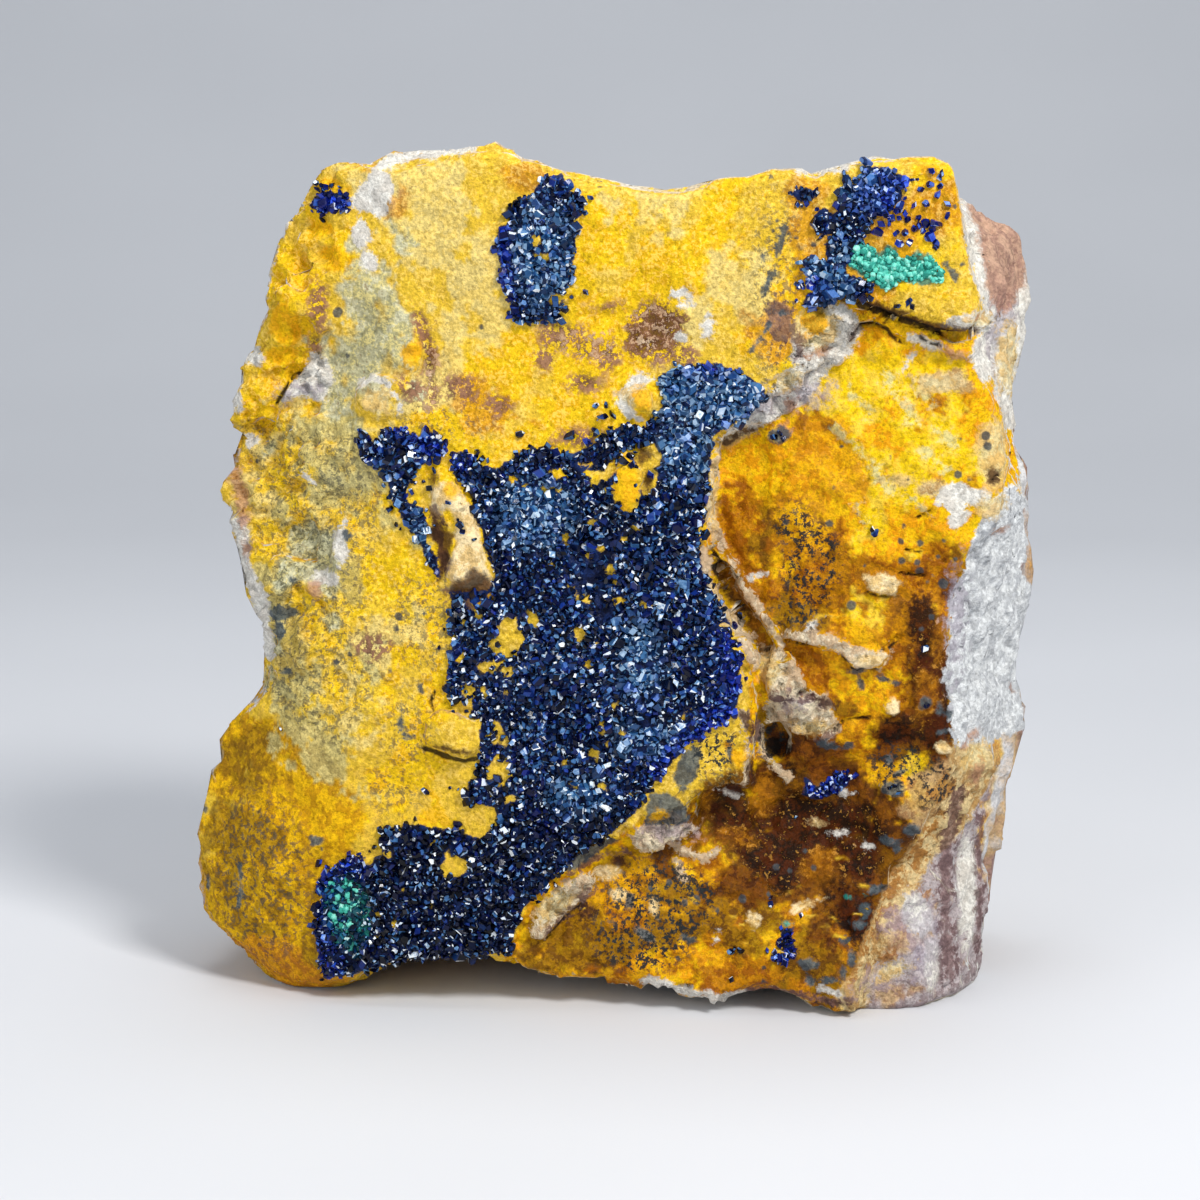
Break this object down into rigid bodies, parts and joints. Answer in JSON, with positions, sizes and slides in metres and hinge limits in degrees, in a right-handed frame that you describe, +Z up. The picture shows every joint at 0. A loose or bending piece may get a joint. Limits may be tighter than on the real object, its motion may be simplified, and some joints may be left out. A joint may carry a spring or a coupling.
{
  "type": "azurite specimen on matrix",
  "caption": "Standing slab of yellow limonite and quartz rock with crusts of small blue azurite crystals and green malachite patches on its face.",
  "frame": {"origin": "middle of the bounding box's bottom, on the surface that the rock stands on", "axes": "+Z up, +X to the right and +Y to the back as seen by someone who looks at the crystal face"},
  "size_m": [0.1008, 0.0432, 0.1003],
  "materials": {
    "rock": "rough broken rock with a yellow to brown limonite skin, bare quartz on its edges",
    "azurite": "glassy deep blue crystals about 1 mm across",
    "malachite": "crumbly matte blue-green crust"
  },
  "bodies": {
    "root": {"matrix_rock": "rock", "azurite_main_crust": "azurite", "azurite_left_lobe": "azurite", "azurite_top_patch": "azurite", "azurite_corner_patch": "azurite", "azurite_edge_patch": "azurite", "azurite_plate_spot": "azurite", "azurite_hollow_spot": "azurite", "azurite_foot_spot": "azurite", "malachite_corner_patch": "malachite", "malachite_lower_left_patch": "malachite"}
  },
  "joints": []
}
